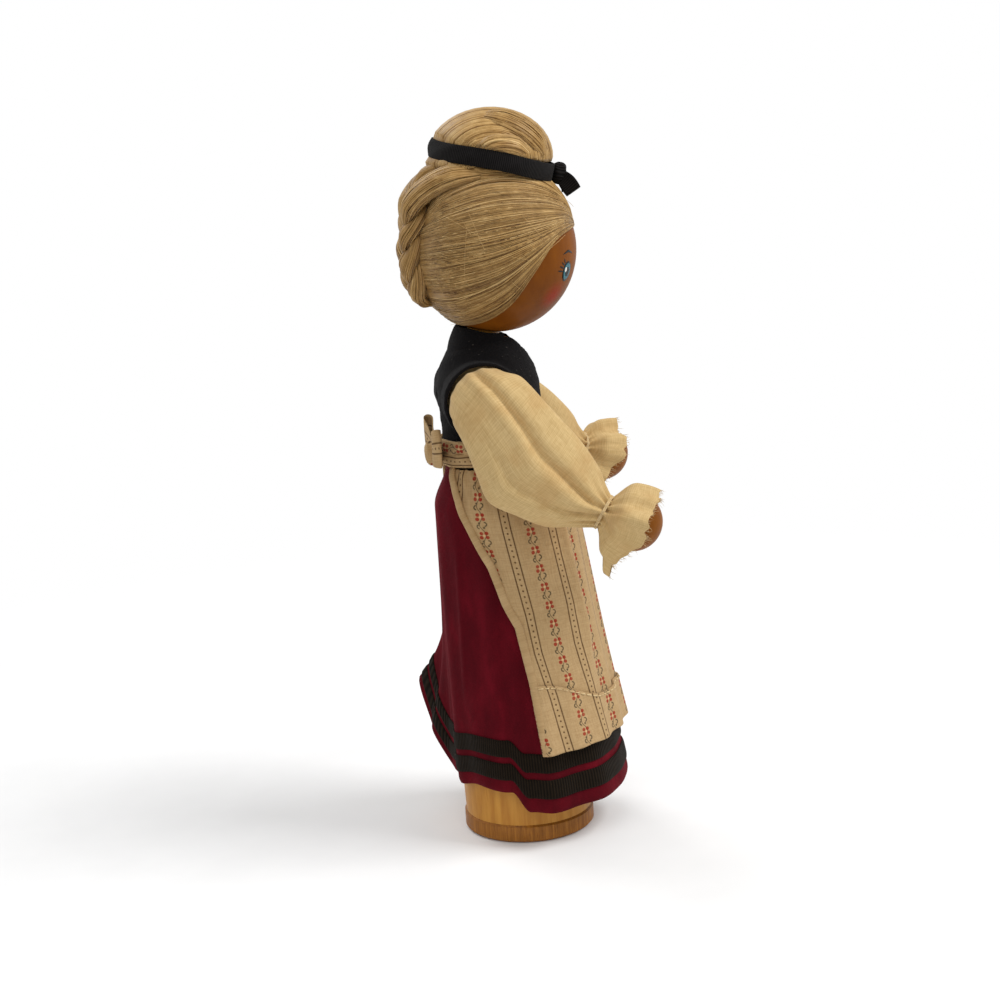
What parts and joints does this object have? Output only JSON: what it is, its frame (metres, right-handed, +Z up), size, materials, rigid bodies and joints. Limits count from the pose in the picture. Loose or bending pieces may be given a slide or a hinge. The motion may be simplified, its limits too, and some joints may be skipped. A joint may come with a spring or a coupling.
{
  "type": "peg wooden doll",
  "caption": "Standing turned-wood doll in folk dress: skirt, apron, vest and full sleeves, with a ball head that turns, flax hair in a bun, and arms that swing at the shoulders.",
  "frame": {"origin": "centre of the base disc's underside", "axes": "+Z up, -Y the way the doll faces, +X towards the doll's left hand"},
  "size_m": [0.0808, 0.061, 0.1826],
  "materials": {
    "wood_pale": "clear varnish over pale turned wood",
    "wood_head": "warm clear varnish, face painted on it",
    "wood_hand": "warm brown varnish",
    "flax": "combed flax fibre",
    "ribbon_black": "plain black woven ribbon",
    "felt_black": "black felt with short fuzz",
    "cotton_cream": "cream plain-weave cotton",
    "thread_cream": "twisted cotton thread",
    "velvet_burgundy": "burgundy velvet",
    "ribbon_green": "dark green ribbed ribbon",
    "print_cotton": "cream cotton printed with brown stripes and small red flowers"
  },
  "bodies": {
    "figure": {"base_disc": "wood_pale", "base_dowel": "wood_pale", "body_peg": "wood_pale", "neck_dowel": "wood_pale", "shoulder_peg_right": "wood_pale", "shoulder_peg_left": "wood_pale", "blouse_body": "cotton_cream", "vest": "felt_black", "skirt": "velvet_burgundy", "skirt_ribbon_upper": "ribbon_green", "skirt_ribbon_lower": "ribbon_green", "apron": "print_cotton", "apron_waistband": "print_cotton", "apron_bow": "print_cotton"},
    "head": {"head_ball": "wood_head", "hair_side_right": "flax", "hair_side_left": "flax", "hair_braid": "flax", "hair_crown": "flax", "hair_bun": "flax", "hair_ribbon": "ribbon_black", "hair_ribbon_knot": "ribbon_black"},
    "right_arm": {"arm_right": "wood_pale", "hand_right": "wood_hand", "sleeve_right": "cotton_cream", "wrist_thread_right": "thread_cream"},
    "left_arm": {"arm_left": "wood_pale", "hand_left": "wood_hand", "sleeve_left": "cotton_cream", "wrist_thread_left": "thread_cream"}
  },
  "joints": [
    {"name": "head_turn", "type": "hinge", "parent": "figure", "child": "head", "pos_m": [0, 0.00432, 0.12812], "axis": [0, -0.2079, 0.9781], "continuous": true},
    {"name": "shoulder_right", "type": "hinge", "parent": "figure", "child": "right_arm", "pos_m": [-0.016, 0.00659, 0.11294], "axis": [-1, 0, 0], "range_deg": [-30, 80]},
    {"name": "shoulder_left", "type": "hinge", "parent": "figure", "child": "left_arm", "pos_m": [0.016, 0.00659, 0.11294], "axis": [-1, 0, 0], "range_deg": [-30, 80]}
  ]
}
